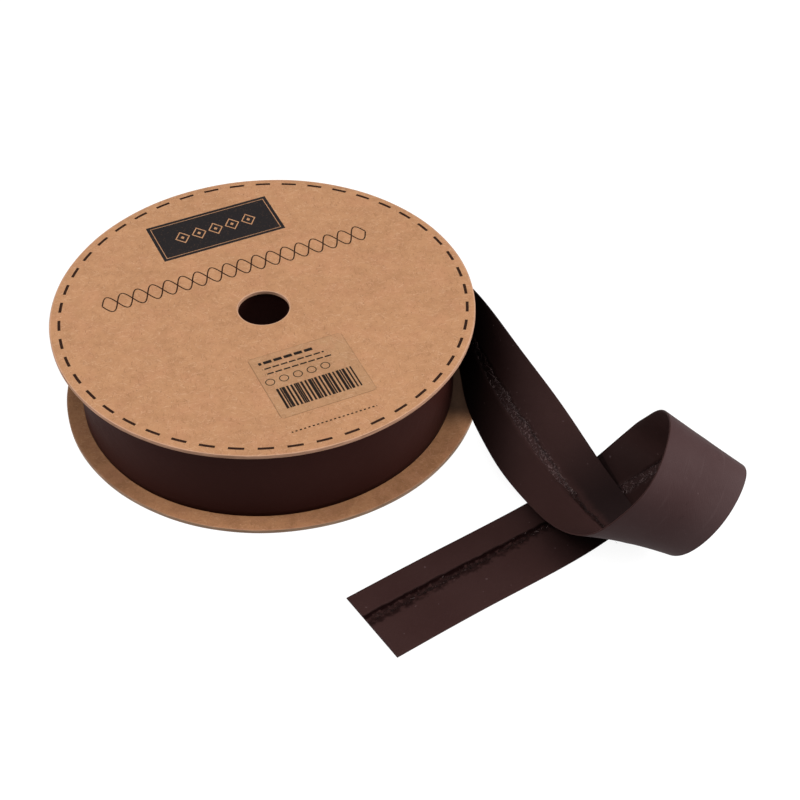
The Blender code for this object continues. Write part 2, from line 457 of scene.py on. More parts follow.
# Kraft board: its face, its pale flecks, its dark flecks
PRINTED_KRAFT = (paint(204, 152, 111), paint(230, 186, 150), paint(150, 104, 72))
PLAIN_KRAFT = (paint(195, 140, 99), paint(220, 172, 134), paint(140, 94, 63))
LABEL_KRAFT = (paint(196, 150, 111), paint(222, 184, 150), paint(150, 106, 74))
# Pale tone of the rim and hole: wear, and on the rim also a painted highlight
WEAR_AND_HIGHLIGHT_KRAFT = paint(224, 182, 156)
BOARD_SHADE = paint(20, 11, 8)
INK = paint(47, 24, 13)
PATCH_INK = paint(37, 33, 34)
KRAFT_FIBRES = (
    # angle, length mm, width mm, threshold, strength, pale
    (0.3, 2.4, 0.34, 0.650, 0.34, True),
    (1.4, 1.6, 0.30, 0.665, 0.32, True),
    (2.5, 2.2, 0.34, 0.660, 0.32, True),
    (0.9, 1.4, 0.32, 0.660, 0.34, False),
    (1.9, 1.9, 0.28, 0.665, 0.40, False),
    (2.9, 1.3, 0.32, 0.670, 0.36, False),
    (0.6, 1.5, 0.30, 0.720, 0.60, True),
    (1.7, 1.9, 0.26, 0.725, 0.75, False),
)


def kraft_tone(finish, place, face, light_fleck, dark_fleck, mottling=1.0):
    """Brown kraft: soft clouds and mottles, then sparse short fibres, pale and dark, at several angles.

    Gives the tone, and the grain for the bump."""
    clouds = finish.noise(place, 45.0, 4.0, 0.6).ramp(0.3, 0.7)
    mottles = finish.noise(place, 260.0, 3.0, 0.55).ramp(0.36, 0.64)
    redness = finish.noise(place, 150.0, 2.0, 0.5).ramp(0.45, 0.7)
    grain = finish.noise(place, 1000.0, 3.0, 0.7).ramp(0.35, 0.65)
    uneven = clouds * 0.14 + mottles * 0.17 + grain * 0.10
    tone = finish.blend(uneven * mottling, face, dark_fleck)
    tone = finish.blend(redness * 0.18, tone, paint(208, 145, 112))
    for angle, length, width, threshold, strength, pale in KRAFT_FIBRES:
        turned = finish.turned(place, (angle, length, 0.0), angle)
        stretched = finish.scaled(turned, (1.0 / (length * MM), 1.0 / (width * MM), 1.0 / MM))
        mask = finish.noise(stretched, 1.0, 1.0).ramp(threshold, threshold + 0.05) * strength
        tone = finish.blend(mask, tone, light_fleck if pale else dark_fleck)
    return tone, grain


def box_mask(x, y, size):
    """1 inside a rectangle of that size about the origin."""
    return (abs(x) < size[0] / 2.0) * (abs(y) < size[1] / 2.0)


def along_and_up_print(finish, place):
    u, v, _ = finish.split(finish.turned(place, (*PRINT_CENTRE, 0.0), PRINT_TURN))
    return u, v


def printed_marks(finish, place):
    """Where brown ink lies on the upper board, and where the dark patch lies round its pale line motif."""
    on_top = finish.split(place)[2] > UPPER_TOP - 0.05 * MM
    radius, x, y = finish.distance(place, DASH_RING_CENTRE)
    angle = x.maths("ARCTAN2", y, x)
    turn = ((angle - DASH_START) * (DASH_COUNT / math.tau) + DASH_COUNT).fraction()
    ring = (abs(radius - DASH_RING_RADIUS) < DASH_STROKE / 2.0) * (turn < DASH_SHARE)

    u, v = along_and_up_print(finish, place)
    patch_u = u - PATCH_CENTRE[0]
    patch_v = v - PATCH_CENTRE[1]
    patch = box_mask(patch_u, patch_v, PATCH_SIZE) * (1.0 - patch_motif(patch_u, patch_v))

    cord = twisted_cord(u - CORD_MOTIF_CENTRE[0], v - CORD_MOTIF_CENTRE[1])
    dots = box_mask(u - DOT_ROW_CENTRE[0], v - DOT_ROW_CENTRE[1], DOT_ROW_SIZE)
    dots = dots * ((u / DOT_PITCH).fraction() < 0.5)
    ink = ring.at_least(cord).at_least(dots)
    return ink * on_top, patch * on_top


def twisted_cord(u, v):
    """Two thin sine lines, half a wave apart, that cross like the strands of a cord."""
    wave = u * (math.tau / CORD_MOTIF_WAVE)
    height = CORD_MOTIF_SIZE[1] / 2.0
    slope = wave.cosine() * (height * math.tau / CORD_MOTIF_WAVE)
    thin = (slope * slope + 1.0) ** 0.5
    rise = wave.sine() * height
    half = thin * (CORD_MOTIF_STROKE / 2.0)
    lines = (abs(v - rise) < half).at_least(abs(v + rise) < half)
    return lines * (abs(u) < CORD_MOTIF_SIZE[0] / 2.0)


def patch_motif(u, v):
    """Pale lines on the dark patch: a thin frame, and a row of lozenges, each round a small solid one."""
    reach_u = abs(u) - (PATCH_SIZE[0] / 2.0 - PATCH_FRAME_INSET)
    reach_v = abs(v) - (PATCH_SIZE[1] / 2.0 - PATCH_FRAME_INSET)
    frame_line = abs(reach_u.at_least(reach_v)) < PATCH_FRAME_STROKE / 2.0
    across = abs((u / LOZENGE_PITCH + 0.5).fraction() - 0.5) * LOZENGE_PITCH
    reach = across * LOZENGE_STEEPNESS + abs(v)
    lozenge = abs(reach - LOZENGE_HALF_HEIGHT) < LOZENGE_STROKE / 2.0
    row = lozenge.at_least(reach < LOZENGE_HEART) * (abs(u) < LOZENGE_PITCH * MOTIFS_IN_A_ROW / 2.0)
    return frame_line.at_least(row)


def with_print(finish, place, tone):
    """The upper board's print, worn thin in specks."""
    ink, patch = printed_marks(finish, place)
    worn = finish.noise(place, 2600.0).ramp(0.25, 0.4, 0.88, 1.0)
    tone = finish.blend(ink * worn, tone, INK)
    return finish.blend(patch * worn, tone, PATCH_INK)


def with_shade(finish, place, tone):
    """The lower board's shade: deep where the tape leans over it, light along its left side."""
    centre = (REEL_AXIS[0] + SHADED_PLACE[0], REEL_AXIS[1] + SHADED_PLACE[1])
    away, x, _ = finish.distance(place, centre)
    left = x.ramp(*LEFT_SHADE_FADES, 0.44, 0.0)
    return finish.blend(away.ramp(*SHADE_FADES, 0.92, 0.0).at_least(left), tone, BOARD_SHADE)


def board_finish(name, centre, tones, mottling, wear_and_highlight, with_more):
    """Kraft board, paler where its rim and hole are worn and with a painted highlight along its rim, with the
    print or the painted shade that it has besides.
    """
    finish = Finish(name, 0.8, 0.12)
    place = finish.place()
    tone, grain = kraft_tone(finish, place, *tones, mottling)
    radius, _, _ = finish.distance(place, centre)
    # Paler rim and hole: wear, and on the rim also a painted highlight
    rim_wear_and_highlight = radius.ramp(BOARD_RADIUS - 0.55 * MM, BOARD_RADIUS - 0.2 * MM)
    worn_hole = radius.ramp(SPINDLE_RADIUS + 0.2 * MM, SPINDLE_RADIUS + 0.5 * MM, 1.0, 0.0)
    tone = finish.blend(rim_wear_and_highlight.at_least(worn_hole) * wear_and_highlight, tone, WEAR_AND_HIGHLIGHT_KRAFT)
    finish.feed("Base Color", with_more(finish, place, tone))
    fibres = finish.noise(place, 1600.0, 4.0, 0.65)
    finish.bump(fibres * 0.6 + grain * 0.4, 0.05 * MM, 0.5)
    return finish


def cut_edge_finish(name, dark, pale):
    """The board's die-cut edge, in thin pressed layers."""
    finish = Finish(name, 0.85, 0.1)
    place = finish.place()
    layers = finish.noise(finish.scaled(place, (160.0, 160.0, 9000.0)), 1.0, 3.0, 0.6)
    tone = finish.blend(layers.ramp(0.35, 0.65), dark, pale)
    finish.feed("Base Color", tone)
    finish.bump(layers, 0.06 * MM, 0.6)
    return finish


WOUND_TONE = paint(51, 25, 21)
WOUND_PALE = paint(59, 32, 28)


def bias_weave(finish):
    """Fine plain weave cut on the bias: threads at 45 degrees to the tape, with soft slubs and creases.

    Gives the places along and across the tape, the share of the paler tone, and the height."""
    along, across, _ = finish.split(finish.uv())
    thread = 0.30 * MM
    warp = ((along + across) * (math.pi / thread)).sine()
    weft = ((along - across) * (math.pi / thread)).sine()
    weave = warp * weft
    turned = finish.turned(finish.join(along, across), (0.0, 0.0, 0.0), math.radians(45.0))
    slubs_one = finish.noise(finish.scaled(turned, (260.0, 3600.0, 1.0)), 1.0, 2.0)
    slubs_two = finish.noise(finish.scaled(turned, (3600.0, 260.0, 1.0)), 1.0, 2.0)
    clouds = finish.noise(finish.place(), 45.0, 3.0, 0.5)
    mix = clouds.ramp(0.3, 0.7) * 0.35 + slubs_one.ramp(0.55, 0.75) * 0.22 + slubs_two.ramp(0.55, 0.75) * 0.22
    creases = finish.noise(finish.place(), 140.0, 3.0, 0.5)
    height = weave * 0.03 + slubs_one * 0.14 + slubs_two * 0.14 + creases * 1.3
    return along, across, mix + weave * 0.05, height


def wound_cloth_finish():
    """The tape on the roll, which shows its smooth side and its fold edges."""
    finish = Finish("wound_cloth", 0.55, 0.025)
    _, _, pale, height = bias_weave(finish)
    finish.feed("Base Color", finish.blend(pale, WOUND_TONE, WOUND_PALE))
    finish.bump(height, 0.22 * MM, 0.7)
    return finish


def loose_cloth_finish():
    """The loose end: smooth side with a painted sheen, darker flaps, and between the flaps a gap full of
    fluff, with painted light and shade.

    The second UV map holds how far a point lies past the first flap's raw edge and past the second's."""
    finish = Finish("loose_cloth", 0.6, 0.03)
    along, across, pale, height = bias_weave(finish)
    past_first, past_second, _ = finish.split(finish.uv("past_raw_edges"))
    spot = finish.join(along, across)
    flaps = finish.blend(pale, paint(59, 38, 36), paint(69, 48, 46))
    smooth = smooth_side_tone(finish, along, across, spot, pale)
    tone = finish.blend(across < TAPE_WIDTH - FOLDED, flaps, smooth)
    tone = with_gap(finish, tone, along, spot, past_first, past_second)
    tone = with_shades(finish, tone, along, past_first, past_second)
    lint = finish.noise(spot, 640.0, 1.0).ramp(0.74, 0.79) * 0.3
    finish.feed("Base Color", finish.blend(lint, tone, paint(120, 100, 99)))
    finish.bump(height, 0.22 * MM, 0.7)
    return finish


def smooth_side_tone(finish, along, across, spot, pale):
    """The side without flaps: as on the roll at first, then paler and greyer from a painted sheen, with faint
    streaks and one paler edge that are painted highlights.
    """
    turned = finish.turned(spot, (0.0, 0.0, 0.0), math.radians(-4.0))
    streaks = finish.noise(finish.scaled(turned, (55.0, 640.0, 1.0)), 1.0)
    # The weave's pale threads, with painted highlights on the streaks and towards one edge
    pale_and_lit = pale * 0.7 + streaks.ramp(0.60, 0.74) * 0.3 + across.ramp(13.0 * MM, 24.0 * MM) * 0.35
    painted_sheen_tone = finish.blend(pale_and_lit, paint(70, 50, 50), paint(87, 69, 69))
    wound = finish.blend(pale, WOUND_TONE, WOUND_PALE)
    # Painted sheen from where the tape leaves the roll
    return finish.blend(along.ramp(*LEAVES_THE_ROLL), wound, painted_sheen_tone)


def with_gap(finish, tone, along, spot, past_first, past_second):
    """The gap between the flaps: painted shade in dark blotches, pale fluff on two stretches, a painted
    shadow line at the flat end.
    """
    flat_end = along.ramp(FLAT_END_STARTS - FLAT_END_BLEND, FLAT_END_STARTS + FLAT_END_BLEND)
    blotches = finish.noise(spot, 620.0, 3.0, 0.6)
    specks = finish.noise(spot, 1500.0, 3.0, 0.6)
    ragged = past_second + (blotches - 0.42) * flat_end * (5.0 * MM)
    reach = ragged.ramp(-1.4 * MM, 0.3 * MM) * past_first.ramp(-0.5 * MM, 0.3 * MM)
    # Where the fluff is lit: pale partly from its fibres, partly from painted light
    fluffy_and_lit = along.ramp(*LIT_FLUFF_STARTS) * along.ramp(*LIT_FLUFF_FADES, 1.0, 0.0)
    fluffy_and_lit = fluffy_and_lit.at_least(along.ramp(*LIT_FLUFF_AGAIN) * (1.0 - flat_end))
    # Painted shade in the recess between the flaps, in blotches, less where the fluff is lit
    shade = reach * blotches.ramp(0.34, 0.56) * (flat_end * 0.35 + 0.4) * (1.0 - fluffy_and_lit * 0.7)
    tone = finish.blend(shade, tone, paint(26, 12, 11))
    # A paler band and pale specks where the fluff is lit: painted light with the fibres' own paleness
    tone = finish.blend(reach * fluffy_and_lit * 0.4, tone, paint(84, 62, 61))
    lit_fluff_specks = reach * fluffy_and_lit * (specks.ramp(0.54, 0.62) * 0.5)
    tone = finish.blend(lit_fluff_specks, tone, paint(150, 125, 124))
    # Painted shadow under the first flap's raw edge at the flat end
    line_width = blotches.ramp(0.3, 0.6, 0.5 * MM, 1.1 * MM)
    line = flat_end * past_first.ramp(-0.05 * MM, 0.05 * MM) * (past_first < line_width)
    return finish.blend(line * 0.9, tone, paint(20, 4, 4))


def with_shades(finish, tone, along, past_first, past_second):
    """Shade beside the reel, under the tape's own crossing, and where the tape turns under."""
    flap_side = past_first > FLAPS_LIE_BEYOND
    crossing = along.ramp(*CROSSING_DARKENS) * along.ramp(*CROSSING_CLEARS, 0.4, 0.0)
    from_reel = along + past_first * 0.75 + past_first.at_most(0.0) * 0.6
    reel = from_reel.ramp(*SHADE_OF_THE_REEL, 0.93, 0.0) * flap_side
    under = (along - (past_first - CROSSING_SLANTS_FROM) * CROSSING_SLANT).ramp(*UNDER_THE_CROSSING)
    under = under * along.ramp(*CROSSING_CLEARS, 0.75, 0.0) * flap_side
    tone = finish.blend(crossing.at_least(reel).at_least(under), tone, paint(12, 7, 7))
    turns_under = along.ramp(*TURNS_UNDER) * (along < TURNS_UNDER_END)
    turns_under = turns_under * past_second.ramp(-3.5 * MM, 0.5 * MM, 1.0, 0.0)
    return finish.blend(turns_under * flap_side * 0.72, tone, paint(22, 18, 19))


def fluff_finish():
    """Loose fibres; each thread's UV says how pale it is, painted light and shade included."""
    finish = Finish("fray_fibre", 0.6, 0.08)
    paleness = finish.split(finish.uv())[0]
    finish.feed("Base Color", finish.blend(paleness, paint(34, 18, 16), paint(178, 154, 152)))
    return finish


def label_finish():
    """Clear film over kraft: the board's tone a little greyed, plain bars and rules in black."""
    finish = Finish("label_film", 0.55, 0.12)
    place = finish.place()
    tone, _ = kraft_tone(finish, place, *LABEL_KRAFT)
    u, v = along_and_up_print(finish, place)
    edge_u = abs(u - LABEL_CENTRE[0]) - LABEL_SIZE[0] / 2.0
    edge_v = abs(v - LABEL_CENTRE[1]) - LABEL_SIZE[1] / 2.0
    edge = edge_u.at_least(edge_v)
    tone = finish.blend(edge.ramp(-0.22 * MM, -0.12 * MM) * 0.55, tone, paint(128, 92, 64))
    marks = plain_bars(u - BARS_CENTRE[0], v - BARS_CENTRE[1]).at_least(ring_row(u, v))
    for rule in PLAIN_RULES:
        marks = marks.at_least(broken_rule(u, v, *rule))
    finish.feed("Base Color", finish.blend(marks, tone, paint(36, 28, 24)))
    finish.bump(finish.noise(place, 420.0), 0.02 * MM, 0.3)
    return finish


def plain_bars(u, v):
    """Upright bars of unequal width from two beats that drift against each other. They say nothing."""
    first = (u / (1.04 * MM)).fraction() - 0.5
    second = (u / (1.37 * MM) + 0.3).fraction() - 0.5
    bars = (abs(first) < 0.23).at_least(abs(second) < 0.17)
    return bars * box_mask(u, v, BARS_SIZE)


def broken_rule(u, v, left, right, middle, thick):
    """A plain rule with short breaks."""
    centre = (left + right) / 2.0 * MM
    rule = box_mask(u - centre, v - middle * MM, ((right - left) * MM, thick * MM))
    return rule * ((u / ((1.9 + thick) * MM)).fraction() < 0.8)


def ring_row(u, v):
    """A row of open rings."""
    across = ((u / RING_PITCH).fraction() - 0.5) * RING_PITCH
    up = v - RING_ROW_HEIGHT
    ring = abs((across * across + up * up) ** 0.5 - RING_RADIUS) < RING_STROKE / 2.0
    return ring * (abs(u + RING_PITCH / 2.0) < RING_PITCH * MOTIFS_IN_A_ROW / 2.0)


# Pieces

def board_profile():
    """Half section of a board as (radius, height) pairs, closed, outer side up first, its corners rounded."""
    turn = quarter_turn(5)
    corner = np.stack([np.cos(turn), np.sin(turn)], axis=1) * BOARD_EDGE_ROUND
    outer = BOARD_RADIUS - BOARD_EDGE_ROUND
    inner = SPINDLE_RADIUS + BOARD_EDGE_ROUND
    high = BOARD_THICKNESS - BOARD_EDGE_ROUND
    low = BOARD_EDGE_ROUND
    top_face = np.linspace(outer, inner, 26)[1:-1]
    low_face = np.linspace(inner, outer, 12)[1:-1]
    return np.concatenate([
        np.array([outer, low]) + corner[::-1] * (1.0, -1.0),
        np.array([outer, high]) + corner,
        np.stack([top_face, np.full(len(top_face), BOARD_THICKNESS)], axis=1),
        np.array([inner, high]) + corner[::-1] * (-1.0, 1.0),
        np.array([inner, low]) + corner * (-1.0, -1.0),
        np.stack([low_face, np.zeros(len(low_face))], axis=1),
    ])


def make_board(name, node, centre, base, faces_finish, edge_finish, phase):
    """A board turned from its half section, its rim a touch uneven where the die cut it.

    Point = centre + radius * (cos, sin) of the angle, at base plus the section's height, where the rim's
    radius gains two waves of a few hundredths of a millimetre."""
    profile = board_profile()
    angles = np.linspace(0.0, math.tau, BOARD_STEPS, endpoint=False)
    uneven = sum(height * np.sin(waves * angles + turn * phase)
                 for turn, (waves, height) in enumerate(UNEVEN_RIM, 1))
    share = (profile[:, 0] - SPINDLE_RADIUS) / (BOARD_RADIUS - SPINDLE_RADIUS)
    radius = profile[None, :, 0] + uneven[:, None] * share[None, :] ** 6
    x = centre[0] + radius * np.cos(angles)[:, None]
    y = centre[1] + radius * np.sin(angles)[:, None]
    z = base + np.broadcast_to(profile[None, :, 1], radius.shape)
    points = np.stack([x, y, z], axis=-1)
    faces = grid_faces(BOARD_STEPS, len(profile), close_rows=True)[:, ::-1]
    middle = (profile + np.roll(profile, -1, axis=0)) / 2.0
    on_rim = (middle[:, 0] > BOARD_RADIUS - BOARD_EDGE_ROUND * 0.7)
    on_rim |= middle[:, 0] < SPINDLE_RADIUS + BOARD_EDGE_ROUND * 0.7
    slots = np.tile(on_rim.astype(int), BOARD_STEPS)
    board = make_piece(name, points, faces, [faces_finish, edge_finish], slots)
    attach(board, "root")
    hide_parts(node)
    return board


def roll_section():
    """Section of the roll as (depth under its outer turn, height) pairs, outer side up first.

    The top shows each turn as a low rounded crest between two grooves. Heights rise inwards, because the
    inner turns stand higher than the outer ones."""
    high = TAPE_WIDTH
    creep = ROLL_BOX[1].z - ROLL_BOX[0].z - TAPE_WIDTH
    depth_to_bore = ROLL_RADIUS - ROLL_BORE_RADIUS
    side = np.linspace(0.0, high, 15)
    side_depth = 0.10 * MM * (np.abs(side / high - 0.5) * 2.0) ** 6
    crest = np.array([0.12, 0.32, 0.68, 0.88, 1.0])
    drop = np.array([0.10, 0.0, 0.0, 0.10, 0.42]) * MM
    turns = np.arange(SHOWN_TURNS)[:, None]
    top_depth = ((turns + crest[None, :]) * TURN_PITCH).ravel()
    top_height = np.full(top_depth.shape, high) - np.tile(drop, SHOWN_TURNS)
    inner_depth = np.linspace(top_depth[-1], depth_to_bore, 14)[1:]
    inner_height = np.full(len(inner_depth), high)
    bore_height = np.linspace(high, 0.0, 8)[1:]
    under_depth = np.linspace(depth_to_bore, 0.0, 14)[1:-1]
    bore_depth = np.full(len(bore_height), depth_to_bore)
    depth = np.concatenate([side_depth, top_depth, inner_depth, bore_depth, under_depth])
    height = np.concatenate([side, top_height, inner_height, bore_height, np.zeros(len(under_depth))])
    return depth, height + creep * np.clip(depth / depth_to_bore, 0.0, 1.0) ** 1.2


def make_roll(side_finish):
    """The wound tape as one spiral: each radius shrinks by one turn's pitch over one turn round the axis.

    Point = radius(angle) less the section's depth, with radius falling evenly from the angle where the
    tape leaves, and the crests' heights a little uneven from turn to turn."""
    depth, height = roll_section()
    turn = np.linspace(0.0, 1.0, ROLL_STEPS, endpoint=False)
    angles = LEAVING_ANGLE + turn * math.tau
    outer = ROLL_RADIUS + (0.58 - turn) * TURN_PITCH
    slow = 0.05 * MM * np.sin(3.0 * angles + 0.7) + 0.03 * MM * np.sin(8.0 * angles)
    shrink = np.clip(1.0 - depth / (ROLL_RADIUS - ROLL_BORE_RADIUS), 0.0, 1.0)
    radius = ROLL_BORE_RADIUS + (outer[:, None] + slow[:, None] - ROLL_BORE_RADIUS) * shrink[None, :]
    radius += (ROLL_RADIUS - ROLL_BORE_RADIUS) * (1.0 - shrink[None, :]) - depth[None, :]
    order = np.floor(depth / TURN_PITCH)[None, :] + turn[:, None]
    uneven = 0.16 * MM * np.sin(order * 2.3) * np.sin(order * 0.71 + 1.0) * np.sin(angles * 2.0)[:, None]
    on_top = ((height[None, :] > TAPE_WIDTH - 1.0 * MM) & (depth[None, :] > 0.0)).astype(float)
    z = TAPE_STANDS_AT + height[None, :] + np.minimum(uneven, 0.02 * MM) * on_top
    x = REEL_AXIS[0] + radius * np.cos(angles)[:, None]
    y = REEL_AXIS[1] + radius * np.sin(angles)[:, None]
    points = np.stack([x, y, np.broadcast_to(z, x.shape)], axis=-1)
    across = np.concatenate([[0.0], np.cumsum(np.hypot(np.diff(depth), np.diff(height)))])
    along = angles * ROLL_RADIUS
    uv = np.stack(np.broadcast_arrays(along[:, None], across[None, :]), axis=-1)
    faces = grid_faces(ROLL_STEPS, len(depth), close_rows=True)[:, ::-1]
    roll = make_piece("wound_tape", points, faces, [side_finish], uv=uv)
    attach(roll, "root")
    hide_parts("roll")
    return roll


def tape_route(steps):
    """The strip's low edge, high edge and travel at evenly spaced places, none below the surface."""
    angles = np.radians([angle for angle, _ in HUGGING])
    radii = np.array([radius for _, radius in HUGGING])
    start = np.stack([radii * np.cos(angles), radii * np.sin(angles), np.full(4, TAPE_STANDS_AT)], axis=1)
    start_high = start + (0.0, 0.0, TAPE_WIDTH)
    low_edge = np.concatenate([start, np.array([row[1] for row in LOOSE_END]) * MM])
    high_edge = np.concatenate([start_high, np.array([row[2] for row in LOOSE_END]) * MM])
    middle = (low_edge + high_edge) / 2.0
    knots = np.r_[0.0, np.cumsum(np.linalg.norm(np.diff(middle, axis=0), axis=1))]
    travel = np.linspace(0.0, knots[-1], steps)
    lines = smooth_curve(knots, np.hstack([middle, high_edge - low_edge]), travel)
    half = lines[:, 3:] / np.linalg.norm(lines[:, 3:], axis=1)[:, None] * TAPE_WIDTH / 2.0
    edges = np.stack([lines[:, :3] - half, lines[:, :3] + half])
    edges[:, :, 2] = np.maximum(edges[:, :, 2], 0.0)
    edges += np.array([REEL_AXIS[0], REEL_AXIS[1], 0.0])
    return edges[0], edges[1], travel


def waver(travel, waves):
    """A sum of sines along the tape: rows of (length of the wave in metres, height, phase)."""
    return sum(height * np.sin(travel * math.tau / length + phase) for length, height, phase in waves)


def tape_frame():
    """For each place along the tape: low edge, unit across, normal to the flaps' side, travel."""
    low_edge, high_edge, travel = tape_route(TAPE_STEPS)
    across = high_edge - low_edge
    forward = np.gradient((low_edge + high_edge) / 2.0, axis=0)
    normal = np.cross(forward, across)
    normal /= np.linalg.norm(normal, axis=1)[:, None]
    return low_edge, across, normal, travel


def gap_edges(travel):
    """Shares of the width where the first flap ends and the second starts, with their frayed wobble."""
    along, first, second = np.array(FLAP_GAP).T
    wobble = RAW_EDGE_WOBBLE / TAPE_WIDTH
    crisp = waver(travel, ((0.0091, 0.35, 0.2), (0.0037, 0.25, 1.9), (0.0017, 0.15, 4.0)))
    rough = waver(travel, ((0.0127, 0.9, 0.8), (0.0053, 0.8, 2.6), (0.0021, 0.6, 0.3), (0.0013, 0.4, 5.0)))
    return np.interp(travel, along, first) + wobble * crisp, np.interp(travel, along, second) + wobble * rough


def folded_section(travel, first, second):
    """The folded cloth's closed section at each place: arrays of (share across, height off the smooth face).

    It runs over the smooth face, round the high edge's fold, back over the second flap to its raw edge,
    under that flap to the fold, over the inner face, under and over the first flap, and round its fold."""
    first = first[:, None]
    second = second[:, None]
    ones = np.ones_like(first)
    fold = FOLDED / 2.0 / TAPE_WIDTH
    inner_fold = CLOTH * 1.6 / TAPE_WIDTH
    half_turn = np.linspace(-math.pi / 2.0, math.pi / 2.0, 9)[None, 1:-1]
    face = np.linspace(0.0, 1.0, SMOOTH_SIDE_POINTS)[None, :]
    flap = np.linspace(0.0, 1.0, 11)[None, :]
    lift = RAW_EDGE_LIFT * (0.35 + 0.65 * np.abs(np.sin(travel * math.tau / 0.0173 + 0.4)))[:, None]
    lift = lift * (0.6 + 0.4 * np.sin(travel * math.tau / 0.0061))[:, None]
    lift = lift * np.where(travel < FLAT_END_STARTS, LIFT_BEFORE_FLAT_END, 1.0)[:, None]
    puff = (0.05 * MM + 0.05 * MM * np.sin(travel * math.tau / 0.043 + 1.1))[:, None]
    ridge = 0.07 * MM * np.exp(-((face - (first + second) / 2.0) / 0.035) ** 2)

    def flap_height(share):
        return lift * share ** 6 + puff * np.sin(math.pi * share) ** 2

    smooth_side = (fold + (1.0 - 2.0 * fold) * face * ones, -ridge)
    turn_height = FOLDED / 2.0 * (1.0 + np.sin(half_turn)) * ones
    high_turn = (1.0 - fold + fold * np.cos(half_turn) * ones, turn_height)
    second_out = (1.0 - fold + (second - 1.0 + fold) * flap, FOLDED + flap_height(flap))
    second_in = (second + (1.0 - inner_fold - second) * flap, FOLDED - CLOTH + flap_height(1.0 - flap))
    inner_side = (1.0 - inner_fold + (2.0 * inner_fold - 1.0) * face * ones, CLOTH * ones - ridge[:, ::-1])
    first_in = (inner_fold + (first - inner_fold) * flap, FOLDED - CLOTH + flap_height(flap))
    first_out = (first + (fold - first) * flap, FOLDED + flap_height(1.0 - flap))
    low_turn = (fold - fold * np.cos(half_turn) * ones, FOLDED / 2.0 * (1.0 - np.sin(half_turn)) * ones)
    parts = (smooth_side, high_turn, second_out, second_in, inner_side, first_in, first_out, low_turn)
    shares = np.concatenate([np.broadcast_to(part[0], part[1].shape) for part in parts], axis=1)
    heights = np.concatenate([part[1] for part in parts], axis=1)
    return shares, heights


def make_loose_end(cloth):
    """The folded tape: its section carried along the route, closed at both ends.

    Point = low edge + share * across + height * normal, kept above the floor."""
    low_edge, across, normal, travel = tape_frame()
    first, second = gap_edges(travel)
    shares, heights = folded_section(travel, first, second)
    points = low_edge[:, None, :] + across[:, None, :] * shares[:, :, None]
    points = points + normal[:, None, :] * heights[:, :, None]
    points[:, :, 2] = np.maximum(points[:, :, 2], OVER_THE_FLOOR)
    section = np.concatenate([np.zeros((TAPE_STEPS, 1)), np.cumsum(np.hypot(
        np.diff(shares, axis=1) * TAPE_WIDTH, np.diff(heights, axis=1)), axis=1)], axis=1)
    uv = np.stack([np.broadcast_to(travel[:, None], section.shape), section], axis=-1)
    columns = shares.shape[1]
    first_end = np.arange(columns)[::-1]
    last_end = np.arange(columns) + (TAPE_STEPS - 1) * columns
    faces = grid_faces(TAPE_STEPS, columns)
    tape = make_piece("loose_end", points, faces, [cloth], uv=uv, ends=(first_end, last_end))
    past = np.stack([shares - first[:, None], second[:, None] - shares], axis=-1) * TAPE_WIDTH
    smooth_side = np.arange(columns) < SMOOTH_SIDE_POINTS
    past[:, smooth_side, :] = -TAPE_WIDTH
    add_uv(tape.data, "past_raw_edges", past)
    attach(tape, "root")
    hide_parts("tail")
    return tape


